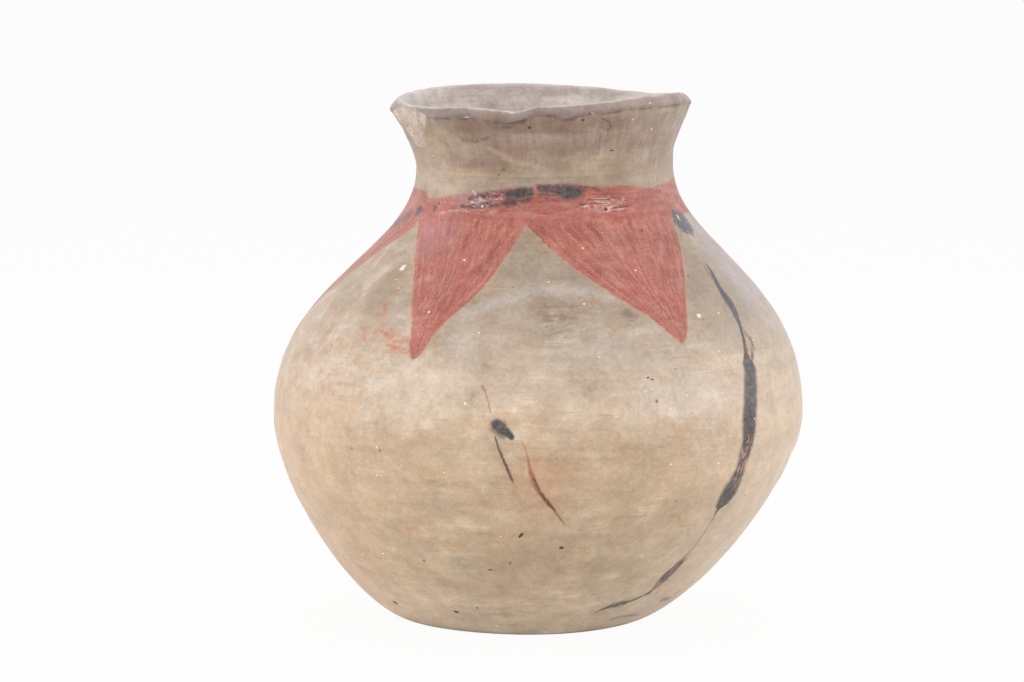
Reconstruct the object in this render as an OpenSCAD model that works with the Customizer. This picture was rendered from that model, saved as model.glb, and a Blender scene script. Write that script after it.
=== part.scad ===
// Hand-built earthenware jar: round belly, short flaring neck, bevelled lip, small flattened foot,
// and a chip out of the rim. One piece of fired clay.
// Millimetres. Z is up, the resting face is at z = 0, and the front of the jar looks towards -Y.
// Every outline size comes as a left and a right value, since the jar leans and bulges unevenly;
// the two outlines are blended round the jar.

/* [Body] */
// height of the rim above the resting face, where the rim is level
jar_h = 238; // [228:1:255]
// reach of the belly to the left of the middle line
belly_left = 121.5; // [112:0.5:130]
// reach of the belly to the right of the middle line
belly_right = 119.5; // [112:0.5:130]
// height of the widest part
belly_z = 94.5; // [86:0.5:104]
// how far down the left side stays full below the belly
low_full_left = 33.5; // [24:0.5:46]
// how far down the right side stays full below the belly
low_full_right = 25; // [20:0.5:40]
// how far up the left shoulder stays full above the belly
shoulder_left = 59.5; // [48:0.5:68]
// how far up the right shoulder stays full above the belly
shoulder_right = 62.5; // [48:0.5:68]

/* [Foot] */
// reach of the flat foot to the left of the middle line
foot_left = 59.5; // [50:0.5:66]
// reach of the flat foot to the right of the middle line
foot_right = 45.5; // [42:0.5:58]
// slope of the wall where it leaves the foot, left side, in degrees
foot_slope_left = 14.5; // [8:0.5:24]
// slope of the wall where it leaves the foot, right side, in degrees
foot_slope_right = 20.5; // [10:0.5:26]
// how far the left side runs out on that slope
foot_run_left = 26; // [16:0.5:32]
// how far the right side runs out on that slope
foot_run_right = 36.5; // [24:0.5:42]
// how much the foot is pressed towards a square
foot_square = 1; // [0:0.1:2]

/* [Neck] */
// reach of the narrowest part of the neck to the left
neck_left = 56; // [52:0.5:61]
// reach of the narrowest part of the neck to the right
neck_right = 61; // [57:0.5:64]
// height of the narrowest part on the left
neck_z_left = 205.5; // [202:0.5:209]
// height of the narrowest part on the right
neck_z_right = 207; // [203:0.5:210]
// how far down the left side of the neck stays upright
neck_low_left = 39; // [30:0.5:44]
// how far down the right side of the neck stays upright
neck_low_right = 36.5; // [30:0.5:44]

/* [Lip] */
// reach of the wall just under the lip, left side
lip_left = 67.6; // [65:0.1:72]
// reach of the wall just under the lip, right side
lip_right = 68.2; // [65:0.1:72]
// steepness of the flare where it meets the lip, left side, in degrees
flare_left = 55.5; // [48:0.5:68]
// steepness of the flare where it meets the lip, right side, in degrees
flare_right = 70.5; // [60:0.5:74]
// height of the sloping outer face of the lip
lip_face = 5; // [4:0.1:6.5]
// width of the lip from the outer corner to the inner edge
lip_w = 7; // [6:0.1:8.5]
// how far the folded lip stands out over the wall below it
lip_fold = 0.6; // [0.3:0.1:1.2]
// rise of the rim at the front right
rim_rise_right = 3.4; // [0:0.1:4.4]
// rise of the rim at the back left
rim_rise_back = 0.6; // [0:0.1:2]
// sag of the rim along the left, under the chip
rim_sag_left = 2.2; // [0:0.1:3]
// short notch-like sag just left of the front
rim_sag_front = 2.2; // [0:0.1:3]
// sag of the rim at the back right
rim_sag_back = 2.2; // [0:0.1:3]

/* [Wall] */
// thickness of the wall of the body
wall = 7; // [5:0.1:9]
// thickness of the floor
floor_t = 9; // [7:0.1:12]
// height of the uneven ripple left by the hands
hand_ripple = 0.3; // [0:0.05:0.6]

/* [Chip in the rim] */
// where the chip sits, degrees round from the front, negative to the left
chip_angle = -64; // [-110:1:-50]
// how deep the chip cuts into the lip, measured in from its outer corner
chip_depth = 2.5; // [1.8:0.1:4]
// height of the chip below the corner of the lip, down to its lower tip
chip_drop = 16; // [11:0.5:20]
// unevenness of the broken face
chip_rough = 0.25; // [0:0.05:0.4]

/* [Hidden] */
// pieces round the jar in every ring
ring_n = 80;
// rings along the outer wall: foot to belly, belly to neck, neck to lip
low_n = 18;
high_n = 18;
neck_n = 7;
// height of the corner under the lip's sloping face
lip_z = jar_h - lip_face;
// how far the wall stays upright above the narrowest part of the neck
neck_up_left = 7;
neck_up_right = 10.5;
// how far the flare runs straight before it meets the lip
flare_run_left = 6;
flare_run_right = 21.5;
// angles of the rises and sags of the rim, round from the front
rise_right_at = 56;
rise_back_at = -150;
sag_left_at = -66;
sag_front_at = -11;
sag_back_at = 132;
// wall thickness just under the lip
neck_wall = 6.4;
// broken face: cells across and up, width of the breaking block, which also reaches out past the
// lip by half that width, and curve of the face
chip_nu = 10;
chip_nv = 12;
chip_w = 54;
chip_curve = 300;
// how far below the wall the broken face ends at its lower tip
chip_tip = 0.2;
// how steeply it then turns outwards, as reach gained for each millimetre down
chip_turn = 0.7;

// a point on a curve with two end points and two handles
function curve(a, b, c, d, t) =
    pow(1 - t, 3) * a + 3 * pow(1 - t, 2) * t * b + 3 * (1 - t) * t * t * c + t * t * t * d;
// the direction of the same curve
function curve_way(a, b, c, d, t) =
    3 * pow(1 - t, 2) * (b - a) + 6 * (1 - t) * t * (c - b) + 3 * t * t * (d - c);

// key points and handles of one outline, as [reach, height] in the order of the curve
function low_keys(foot, slope, run, belly, full) = [
    [foot, 0],
    [foot + run * cos(slope), run * sin(slope)],
    [belly, belly_z - full],
    [belly, belly_z]
];
function high_keys(belly, up, neck, nz, down) = [
    [belly, belly_z],
    [belly, belly_z + up],
    [neck, nz - down],
    [neck, nz]
];
function neck_keys(neck, nz, up, lip, steep, run) = [
    [neck, nz],
    [neck, nz + up],
    [lip - run * cos(steep), lip_z - run * sin(steep)],
    [lip, lip_z]
];

left_keys = [
    low_keys(foot_left, foot_slope_left, foot_run_left, belly_left, low_full_left),
    high_keys(belly_left, shoulder_left, neck_left, neck_z_left, neck_low_left),
    neck_keys(neck_left, neck_z_left, neck_up_left, lip_left, flare_left, flare_run_left)
];
right_keys = [
    low_keys(foot_right, foot_slope_right, foot_run_right, belly_right, low_full_right),
    high_keys(belly_right, shoulder_right, neck_right, neck_z_right, neck_low_right),
    neck_keys(neck_right, neck_z_right, neck_up_right, lip_right, flare_right, flare_run_right)
];

// share of the right outline at an angle round from the front
function share(a) = (1 + sin(a)) / 2;
// blended keys of one stretch at an angle
function keys_at(i, a) = left_keys[i] * (1 - share(a)) + right_keys[i] * share(a);
// outline point and direction: i is the stretch, t runs 0 to 1 along it
function outline(i, t, a) = let (k = keys_at(i, a)) curve(k[0], k[1], k[2], k[3], t);
function outline_way(i, t, a) = let (k = keys_at(i, a)) curve_way(k[0], k[1], k[2], k[3], t);

// a soft bump of width w round angle c
function turn(d) = d - 360 * round(d / 360);
function bump(a, c, w) = exp(-pow(turn(a - c) / w, 2));
// height of the rim over its level, round the mouth
function rim_rise(a) =
    rim_rise_right * bump(a, rise_right_at, 40)
    + rim_rise_back * bump(a, rise_back_at, 25)
    - rim_sag_left * bump(a, sag_left_at, 34)
    - rim_sag_front * bump(a, sag_front_at, 9)
    - rim_sag_back * bump(a, sag_back_at, 30);
// smooth step from 0 to 1
function ease(x) = let (c = min(1, max(0, x))) c * c * (3 - 2 * c);
// how much of the rim's rise reaches a height
function lift(z) = ease((z - 206) / (lip_z - 206));

// ripple of the hands and the pressed foot, added to the reach of the outer wall
function ripple(a, z) =
    hand_ripple * (sin(3 * a + 1.6 * z) * 0.6 + sin(5 * a - 2.9 * z + 40) * 0.4)
    * ease(z / 30) * ease((lip_z - z) / 25);
function squared(a, z) = foot_square * cos(4 * (a - 2)) * exp(-pow(z / 35, 2));

// thickness of the wall along stretch i
function thick(i, t) =
    i == 0 ? floor_t + (wall - floor_t) * ease(t * 1.6) :
    i == 1 ? wall :
    wall + (neck_wall - wall) * t;

// a point in space from a reach, a height and an angle
function place(p, a) = [p[0] * sin(a), -p[0] * cos(a), p[1]];
function raised(p, a) = [p[0], p[1] + rim_rise(a) * lift(p[1])];

// outer and inner wall
function outer_pt(i, t, a) =
    let (p = outline(i, t, a))
    place(raised([p[0] + ripple(a, p[1]) + squared(a, p[1]), p[1]], a), a);
function inner_pt(i, t, a) =
    let (p = outline(i, t, a), w = outline_way(i, t, a), l = norm(w), th = thick(i, t))
    place(raised([p[0] - th * w[1] / l, p[1] + th * w[0] / l], a), a);
// the lip, as steps in from its outer corner and down from the crest
lip_steps = [
    [0, lip_face],
    [0.05 * lip_w, 0.74 * lip_face],
    [0.28 * lip_w, 0.34 * lip_face],
    [0.52 * lip_w, 0.07 * lip_face],
    [0.70 * lip_w, 0],
    [0.87 * lip_w, 0.09 * lip_face],
    [lip_w, 0.36 * lip_face]
];
function lip_pt(k, a) =
    let (r = lip_left * (1 - share(a)) + lip_right * share(a) + lip_fold)
    place(raised([r - lip_steps[k][0], jar_h - lip_steps[k][1]], a), a);

// all rings, from the foot up the outside, over the lip and down the inside
stations = concat(
    [for (k = [0:low_n - 1]) [0, 0, k / low_n]],
    [for (k = [0:high_n - 1]) [0, 1, k / high_n]],
    [for (k = [0:neck_n]) [0, 2, k / neck_n * 0.985]],
    [for (k = [0:len(lip_steps) - 1]) [1, 0, k]],
    [for (k = [2:-1:0]) [2, 2, k * 0.26]],
    [for (k = [7:-1:1]) [2, 1, (k - 0.5) / 7.5]],
    [for (k = [9:-1:0]) [2, 0, k / 9.5]]
);
function ring_pt(s, a) =
    s[0] == 0 ? outer_pt(s[1], s[2], a) :
    s[0] == 1 ? lip_pt(s[2], a) :
    inner_pt(s[1], s[2], a);
rings = len(stations);
foot_x = (foot_right - foot_left) / 2;
jar_points = concat(
    [for (s = stations) for (j = [0:ring_n - 1]) ring_pt(s, 360 * j / ring_n)],
    [[foot_x, 0, 0], [foot_x, 0, floor_t * 0.96]]
);
function at(k, j) = k * ring_n + j % ring_n;
foot_mid = rings * ring_n;
floor_mid = foot_mid + 1;
jar_faces = concat(
    [for (k = [0:rings - 2]) for (j = [0:ring_n - 1]) [at(k, j), at(k + 1, j), at(k + 1, j + 1)]],
    [for (k = [0:rings - 2]) for (j = [0:ring_n - 1]) [at(k, j), at(k + 1, j + 1), at(k, j + 1)]],
    [for (j = [0:ring_n - 1]) [foot_mid, at(0, j), at(0, j + 1)]],
    [for (j = [0:ring_n - 1]) [floor_mid, at(rings - 1, j + 1), at(rings - 1, j)]]
);

// the step along the flare at which the wall reaches a height, found by halving
function step_at(z, a, low = 0, high = 1, left = 14) =
    let (mid = (low + high) / 2)
    left == 0 ? mid :
    outline(2, mid, a)[1] < z ? step_at(z, a, mid, high, left - 1) :
    step_at(z, a, low, mid, left - 1);

// the broken face of the chip: it follows the flare down to a tip that just leaves the wall
chip_low = lip_z - chip_drop - 3;
chip_high = jar_h + 8;
chip_share = share(chip_angle);
chip_top_reach = lip_left * (1 - chip_share) + lip_right * chip_share + lip_fold - chip_depth;
chip_tip_z = lip_z - chip_drop;
chip_tip_reach = outline(2, step_at(chip_tip_z, chip_angle), chip_angle)[0] - chip_tip;
function chip_reach(u, z) =
    let (x = min(1, max(0, (jar_h - z) / (jar_h - chip_tip_z))))
    chip_top_reach + (chip_tip_reach - chip_top_reach) * pow(x, 1.5)
    + chip_turn * max(0, chip_tip_z - z) + u * u / (2 * chip_curve);
function crumble(u, v) =
    chip_rough * (sin(u * 97 + v * 41) + sin(u * 53 - v * 113 + 70)) * 0.5;
function chip_pt(i, j, out) =
    let (u = (i / chip_nu - 0.5) * chip_w, z = chip_low + (chip_high - chip_low) * j / chip_nv)
    [u, out ? lip_left + chip_w / 2 : chip_reach(u, z) + crumble(i, j), z];
chip_row = chip_nu + 1;
chip_half = chip_row * (chip_nv + 1);
function cell(i, j, out) = (out ? chip_half : 0) + j * chip_row + i;
chip_points = [
    for (out = [false, true]) for (j = [0:chip_nv]) for (i = [0:chip_nu]) chip_pt(i, j, out)
];
chip_faces = concat(
    [for (j = [0:chip_nv - 1]) for (i = [0:chip_nu - 1])
        [cell(i, j, false), cell(i, j + 1, false), cell(i + 1, j + 1, false)]],
    [for (j = [0:chip_nv - 1]) for (i = [0:chip_nu - 1])
        [cell(i, j, false), cell(i + 1, j + 1, false), cell(i + 1, j, false)]],
    [for (j = [0:chip_nv - 1]) for (i = [0:chip_nu - 1])
        [cell(i, j, true), cell(i + 1, j + 1, true), cell(i, j + 1, true)]],
    [for (j = [0:chip_nv - 1]) for (i = [0:chip_nu - 1])
        [cell(i, j, true), cell(i + 1, j, true), cell(i + 1, j + 1, true)]],
    [for (i = [0:chip_nu - 1]) [cell(i, 0, false), cell(i + 1, 0, false), cell(i + 1, 0, true)]],
    [for (i = [0:chip_nu - 1]) [cell(i, 0, false), cell(i + 1, 0, true), cell(i, 0, true)]],
    [for (i = [0:chip_nu - 1])
        [cell(i, chip_nv, false), cell(i + 1, chip_nv, true), cell(i + 1, chip_nv, false)]],
    [for (i = [0:chip_nu - 1])
        [cell(i, chip_nv, false), cell(i, chip_nv, true), cell(i + 1, chip_nv, true)]],
    [for (j = [0:chip_nv - 1]) [cell(0, j, false), cell(0, j + 1, true), cell(0, j + 1, false)]],
    [for (j = [0:chip_nv - 1]) [cell(0, j, false), cell(0, j, true), cell(0, j + 1, true)]],
    [for (j = [0:chip_nv - 1])
        [cell(chip_nu, j, false), cell(chip_nu, j + 1, false), cell(chip_nu, j + 1, true)]],
    [for (j = [0:chip_nv - 1])
        [cell(chip_nu, j, false), cell(chip_nu, j + 1, true), cell(chip_nu, j, true)]]
);

// the jar: foot, belly, neck, lip and hollow in one closed shell, less the chip
module jar() {
    color([0.78, 0.68, 0.58])
    difference() {
        polyhedron(points = jar_points, faces = jar_faces, convexity = 6);
        // the block's own Y runs outwards, so it is turned to the chip's place in the rim
        rotate([0, 0, chip_angle + 180])
            polyhedron(points = chip_points, faces = chip_faces, convexity = 4);
    }
}

jar();
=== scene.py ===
"""Looks of the hand-built earthenware jar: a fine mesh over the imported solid, painted with nodes.

Lengths are millimetres until a mesh or a lamp is made; angles are degrees round the jar from its
front, negative to the left. The jar stands at the origin, Z up, with its front towards -Y.
"""
import math

import bpy
import numpy as np
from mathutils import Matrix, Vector

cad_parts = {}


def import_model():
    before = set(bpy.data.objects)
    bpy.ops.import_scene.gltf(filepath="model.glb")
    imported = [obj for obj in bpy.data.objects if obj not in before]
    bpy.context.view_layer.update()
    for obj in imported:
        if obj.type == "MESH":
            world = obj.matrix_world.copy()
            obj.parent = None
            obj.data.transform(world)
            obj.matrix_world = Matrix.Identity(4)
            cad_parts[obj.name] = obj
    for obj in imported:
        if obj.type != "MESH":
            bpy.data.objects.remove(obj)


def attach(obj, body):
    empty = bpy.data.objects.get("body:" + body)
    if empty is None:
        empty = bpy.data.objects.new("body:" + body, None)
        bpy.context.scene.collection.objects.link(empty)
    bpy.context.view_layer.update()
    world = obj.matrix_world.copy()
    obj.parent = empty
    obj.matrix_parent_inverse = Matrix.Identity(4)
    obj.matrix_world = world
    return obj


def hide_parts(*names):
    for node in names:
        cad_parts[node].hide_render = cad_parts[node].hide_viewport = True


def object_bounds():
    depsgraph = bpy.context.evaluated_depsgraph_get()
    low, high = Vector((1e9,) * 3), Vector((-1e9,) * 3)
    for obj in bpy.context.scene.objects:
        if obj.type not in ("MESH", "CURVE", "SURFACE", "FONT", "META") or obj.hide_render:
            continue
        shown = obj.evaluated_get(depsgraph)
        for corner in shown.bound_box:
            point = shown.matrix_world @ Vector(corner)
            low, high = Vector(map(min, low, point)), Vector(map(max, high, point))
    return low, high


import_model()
cad_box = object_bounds()
MM = 0.001

# Shape of the jar, the same sizes as in the part's source
JAR_H = 238.0
BELLY_Z = 94.5
LIP_FACE = 5.0
LIP_Z = JAR_H - LIP_FACE
LIP_W = 7.0
LIP_FOLD = 0.6
LIP_LEFT = 67.6
LIP_RIGHT = 68.2
WALL = 7.0
FLOOR_T = 9.0
NECK_WALL = 6.4
FOOT_LEFT = 59.5
FOOT_RIGHT = 45.5
FOOT_SQUARE = 1.0
HAND_RIPPLE = 0.3
CHIP_ANGLE = -64.0
CHIP_DEPTH = 2.5
CHIP_DROP = 16.0
CHIP_CURVE = 300.0
CHIP_W = 54.0
CHIP_TIP = 0.2
CHIP_TURN = 0.7
LEFT = dict(foot=FOOT_LEFT, slope=14.5, run=26.0, belly=121.5, full=33.5, up=59.5,
            neck=56.0, nz=205.5, down=39.0, nup=7.0, lip=LIP_LEFT, steep=55.5, frun=6.0)
RIGHT = dict(foot=FOOT_RIGHT, slope=20.5, run=36.5, belly=119.5, full=25.0, up=62.5,
             neck=61.0, nz=207.0, down=36.5, nup=10.5, lip=LIP_RIGHT, steep=70.5, frun=21.5)
AROUND = 384
BODY_STEPS = 56
NECK_STEPS = 30
LIP_CUTS = 18
LIP_STEPS = [(0, 1), (0.05, 0.74), (0.28, 0.34), (0.52, 0.07), (0.70, 0), (0.87, 0.09), (1, 0.36)]

# The clays that the skin's faces take, and where one gives way to the next
BELLY, SHOULDER, BAND, BACK, NECK, LIP, INSIDE, BROKEN = range(8)
MIDDLE_Z = 127.0
BAND_Z = 186.0
BACK_LEFT_EDGE = -118.0
BACK_RIGHT_EDGE = 127.7

# Millimetres to a degree round the belly and round the neck
BELLY_SCALE = 2.1
NECK_SCALE = 1.07


def side_keys(s):
    """Key points and handles of one outline: foot to belly, belly to neck, neck to lip."""
    a = math.radians(s["slope"])
    b = math.radians(s["steep"])
    low = [(s["foot"], 0), (s["foot"] + s["run"] * math.cos(a), s["run"] * math.sin(a)),
           (s["belly"], BELLY_Z - s["full"]), (s["belly"], BELLY_Z)]
    high = [(s["belly"], BELLY_Z), (s["belly"], BELLY_Z + s["up"]),
            (s["neck"], s["nz"] - s["down"]), (s["neck"], s["nz"])]
    neck = [(s["neck"], s["nz"]), (s["neck"], s["nz"] + s["nup"]),
            (s["lip"] - s["frun"] * math.cos(b), LIP_Z - s["frun"] * math.sin(b)),
            (s["lip"], LIP_Z)]
    return np.array([low, high, neck], float)


KEYS_LEFT = side_keys(LEFT)
KEYS_RIGHT = side_keys(RIGHT)


def ease(x):
    c = np.clip(x, 0, 1)
    return c * c * (3 - 2 * c)


def share(a):
    return (1 + np.sin(np.radians(a))) / 2


def outline(i, t, a):
    """Reach and height of the outline, and its direction, on stretch i at t and angles a."""
    s = share(a)[:, None, None]
    k = KEYS_LEFT[i] * (1 - s) + KEYS_RIGHT[i] * s
    u = 1 - t
    p = u ** 3 * k[:, 0] + 3 * u * u * t * k[:, 1] + 3 * u * t * t * k[:, 2] + t ** 3 * k[:, 3]
    w = (3 * u * u * (k[:, 1] - k[:, 0]) + 6 * u * t * (k[:, 2] - k[:, 1])
         + 3 * t * t * (k[:, 3] - k[:, 2]))
    return p[:, 0], p[:, 1], w[:, 0], w[:, 1]


def place(r, a):
    """x and y of points at reach r and angle a."""
    return r * np.sin(np.radians(a)), -r * np.cos(np.radians(a))


def bump_at(a, c, w):
    d = (a - c + 180) % 360 - 180
    return np.exp(-(d / w) ** 2)


def rim_rise(a):
    """Height of the rim over its level; the short sag left of the front is steeper on its right."""
    return (3.4 * bump_at(a, 56, 40) + 0.6 * bump_at(a, -150, 25) - 2.2 * bump_at(a, -66, 34)
            - 1.5 * bump_at(a, -9, 5.5) - 1.2 * bump_at(a, -16, 8) - 2.2 * bump_at(a, 132, 30))


def raised(z, a):
    return z + rim_rise(a) * ease((z - 206) / (LIP_Z - 206))


def waves(seed, count, length, stretch=(1, 1, 1)):
    """A smooth random field of x, y, z: a sum of plane waves about one length long."""
    rng = np.random.default_rng(seed)
    way = rng.normal(size=(count, 3))
    way /= np.linalg.norm(way, axis=1)[:, None]
    k = way * 2 * math.pi / (length * rng.uniform(0.7, 1.5, count)[:, None]) / np.array(stretch)
    at = rng.uniform(0, 2 * math.pi, count)

    def field(x, y, z):
        total = 0
        for (kx, ky, kz), p in zip(k, at):
            total = total + np.sin(kx * x + ky * y + kz * z + p)
        return total / math.sqrt(count / 2) * 0.5
    return field


# Unevenness left by the hands: broad swells, rubbed facets that lie level, and small lumps
swell = waves(3, 14, 70)
facet = waves(5, 26, 9, (7, 7, 1))
lump = waves(8, 26, 11)
ragged = waves(11, 20, 7, (1, 1, 8))


# Where the folded edge under the lip hangs lower or is rubbed higher, by angle
SEAM_ANGLES = [-180, -120, -60, -50, -23, -12, -9, -3, 3, 5, 6.5, 8.2, 10.5, 13, 18, 33, 60, 180]
SEAM_DROPS = [0, 0.3, 0, 0.2, 0.4, 0.1, 0.6, 1.3, 1.5, 0.5, 0.6, -1.0, -1.1, 0, 0.2, 0.4, 0, 0]


def seam(a):
    b = (a + 180) % 360 - 180
    return np.interp(b, SEAM_ANGLES, SEAM_DROPS)


def outer_ring(i, t, a):
    r, z, _, _ = outline(i, t, a)
    r = r + FOOT_SQUARE * np.cos(np.radians(4 * (a - 2))) * np.exp(-(z / 35) ** 2)
    near_lip = ease((z - 224) / 8)
    hand = HAND_RIPPLE * (0.6 * np.sin(np.radians(3 * a + 1.6 * z))
                          + 0.4 * np.sin(np.radians(5 * a - 2.9 * z + 40)))
    r = r + hand * ease(z / 30) * ease((LIP_Z - z) / 25)
    x, y = place(r, a)
    rough = 0.25 * (swell(x, y, z) - 1) + 0.12 * (facet(x, y, z) - 1) + 0.09 * (lump(x, y, z) - 1)
    r = r + rough * ease(z / 12) * (1 - 0.6 * near_lip)
    return r, raised(z, a)


def inner_ring(i, t, a):
    r, z, wr, wz = outline(i, t, a)
    size = np.hypot(wr, wz)
    if i == 0:
        th = FLOOR_T + (WALL - FLOOR_T) * ease(t * 1.6)
    elif i == 1:
        th = WALL
    else:
        th = WALL + (NECK_WALL - WALL) * t
    r = r - th * wz / size
    z = z + th * wr / size
    x, y = place(r, a)
    r = r + 0.3 * swell(x + 90, y, z) + 0.22 * facet(x, y + 50, z)
    return r, raised(z, a)


def lip_section(t):
    """The lip's cross-section at t from 0 to 1, a soft curve through its steps."""
    pts = np.array(LIP_STEPS, float)
    ext = np.vstack([pts[0] * 2 - pts[1], pts, pts[-1] * 2 - pts[-2]])
    f = t * (len(pts) - 1)
    i = min(int(f), len(pts) - 2)
    u = f - i
    a, b, c, d = ext[i], ext[i + 1], ext[i + 2], ext[i + 3]
    p = 0.5 * (2 * b + (c - a) * u + (2 * a - 5 * b + 4 * c - d) * u * u
               + (3 * b - a - 3 * c + d) * u ** 3)
    return p[0], max(0.0, p[1])


def lip_ring(t, a):
    step_in, step_down = lip_section(t)
    s = share(a)
    r = LIP_LEFT * (1 - s) + LIP_RIGHT * s + LIP_FOLD - step_in * LIP_W
    z = JAR_H - step_down * LIP_FACE + np.zeros_like(a)
    x, y = place(r, a)
    torn = (seam(a) + 0.35 * ragged(x, y, z)) * (1 - t * 3 if t < 0.33 else 0)
    rubbed = 0.12 * (2 + swell(x, y, z + 50) + lump(x, y, z + 40)) * max(0.0, 1 - t * 3)
    r = r + 0.22 * (lump(x, y, z) - 1) - 0.12 * (1 + ragged(x, y, z)) - rubbed
    z = z + torn - 0.22 * (1 + lump(x + 30, y, z)) * (1 - step_down)
    return r, raised(z, a)


def jar_mesh():
    """The whole skin as rings, closed at the foot and on the inner floor, and a clay a face."""
    n = AROUND
    a = np.arange(n) * 360 / n
    rings = [outer_ring(i, k / BODY_STEPS, a) for i in (0, 1) for k in range(BODY_STEPS)]
    neck_from = len(rings)
    for k in range(NECK_STEPS + 1):
        r, z = outer_ring(2, k / NECK_STEPS * 0.985, a)
        x, y = place(r, a)
        fit = ease((k - NECK_STEPS + 6) / 6)
        z = z + (seam(a) + 0.35 * ragged(x, y, z)) * fit
        r = r + np.minimum(0, seam(a)) * -0.35 * fit
        rings.append((r, z))
    lip_from = len(rings)
    rings += [lip_ring(k / LIP_CUTS, a) for k in range(LIP_CUTS + 1)]
    inside_from = len(rings)
    rings += [inner_ring(2, k / 9 * 0.55, a) for k in range(9, -1, -1)]
    rings += [inner_ring(1, k / 16, a) for k in range(15, 0, -1)]
    rings += [inner_ring(0, k / 15, a) for k in range(14, -1, -1)]
    m = len(rings)
    r, z = np.array(rings).transpose(1, 0, 2)
    co = np.zeros((m * n + 2, 3))
    co[:m * n] = np.stack([*place(r, a), z], -1).reshape(-1, 3)
    foot_x = (FOOT_RIGHT - FOOT_LEFT) / 2
    co[m * n] = (foot_x, 0, 0)
    co[m * n + 1] = (foot_x, 0, FLOOR_T * 0.96)
    low, high = np.array(cad_box[0]) / MM, np.array(cad_box[1]) / MM
    co = np.clip(co, low, high)
    j = np.arange(n)
    jn = (j + 1) % n
    faces = []
    clays = []
    middle = (j + 0.5) * 360 / n
    at_back = (middle > BACK_RIGHT_EDGE) & (middle < 360 + BACK_LEFT_EDGE)
    for k in range(m - 1):
        faces += zip(k * n + j, k * n + jn, (k + 1) * n + jn, (k + 1) * n + j)
        if k >= inside_from:
            clays += [INSIDE] * n
        elif k >= lip_from:
            clays += [LIP] * n
        elif k >= neck_from:
            clays += [NECK] * n
        else:
            level = z[k].mean()
            front = BELLY if level < MIDDLE_Z else SHOULDER if level < BAND_Z else BAND
            clays += np.where(at_back, BACK, front).tolist()
    faces += zip([m * n] * n, jn, j)
    faces += zip([m * n + 1] * n, (m - 1) * n + j, (m - 1) * n + jn)
    clays += [BELLY] * n + [INSIDE] * n
    return co * MM, [tuple(int(v) for v in f) for f in faces], clays


def wall_reach(z, angle):
    """Reach of the flaring wall at a height."""
    steps = [outline(2, t, np.array([angle])) for t in np.linspace(0, 1, 200)]
    return np.interp(z, [s[1][0] for s in steps], [s[0][0] for s in steps])


def chip_block():
    """The block that breaks the rim: its inner side is the broken face, down to its tip."""
    nu, nv = 64, 48
    low, high = LIP_Z - CHIP_DROP - 3, JAR_H + 8
    coarse = waves(21, 18, 9)
    fine = waves(22, 24, 2.6)
    part = share(CHIP_ANGLE)
    top = LIP_LEFT * (1 - part) + LIP_RIGHT * part + LIP_FOLD - CHIP_DEPTH
    tip_z = LIP_Z - CHIP_DROP
    tip = wall_reach(tip_z, CHIP_ANGLE) - CHIP_TIP
    u, v = np.meshgrid((np.arange(nu + 1) / nu - 0.5) * CHIP_W, np.arange(nv + 1) / nv)
    z = low + (high - low) * v
    x = np.clip((JAR_H - z) / (JAR_H - tip_z), 0, 1)
    reach = top + (tip - top) * x ** 1.5 + CHIP_TURN * np.maximum(0, tip_z - z)
    reach = reach + u * u / (2 * CHIP_CURVE) + 0.22 * coarse(u, 0 * u, z) + 0.07 * fine(u, 0 * u, z)
    inner = np.stack([u, reach, z], -1).reshape(-1, 3)
    outer = np.stack([u, u * 0 + LIP_LEFT + CHIP_W / 2, z], -1).reshape(-1, 3)
    turn = math.radians(CHIP_ANGLE + 180)
    c, s = math.cos(turn), math.sin(turn)
    co = np.vstack([inner, outer]) @ np.array([[c, s, 0], [-s, c, 0], [0, 0, 1]])
    row, half = nu + 1, (nu + 1) * (nv + 1)
    faces = []
    for q in range(nv):
        for p in range(nu):
            a = q * row + p
            faces.append((a, a + 1, a + row + 1, a + row))
            faces.append((half + a, half + a + row, half + a + row + 1, half + a + 1))
    for p in range(nu):
        b = nv * row + p
        faces.append((p, half + p, half + p + 1, p + 1))
        faces.append((b, b + 1, half + b + 1, half + b))
    for q in range(nv):
        a, b = q * row, q * row + nu
        faces.append((a, a + row, half + a + row, half + a))
        faces.append((b, half + b, half + b + row, b + row))
    return co * MM, faces, [BROKEN] * len(faces)


def new_object(name, co, faces, clays=None):
    mesh = bpy.data.meshes.new(name)
    mesh.from_pydata(co.tolist(), [], faces)
    if clays is not None:
        mesh.polygons.foreach_set("material_index", clays)
    mesh.update()
    obj = bpy.data.objects.new(name, mesh)
    bpy.context.scene.collection.objects.link(obj)
    return obj


def tone(r, g, b):
    """A colour as seen on screen, 0 to 255, turned into the shader's linear colour."""
    def lin(c):
        c = c / 255
        return c / 12.92 if c <= 0.04045 else ((c + 0.055) / 1.055) ** 2.4
    return (lin(r), lin(g), lin(b), 1.0)


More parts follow.
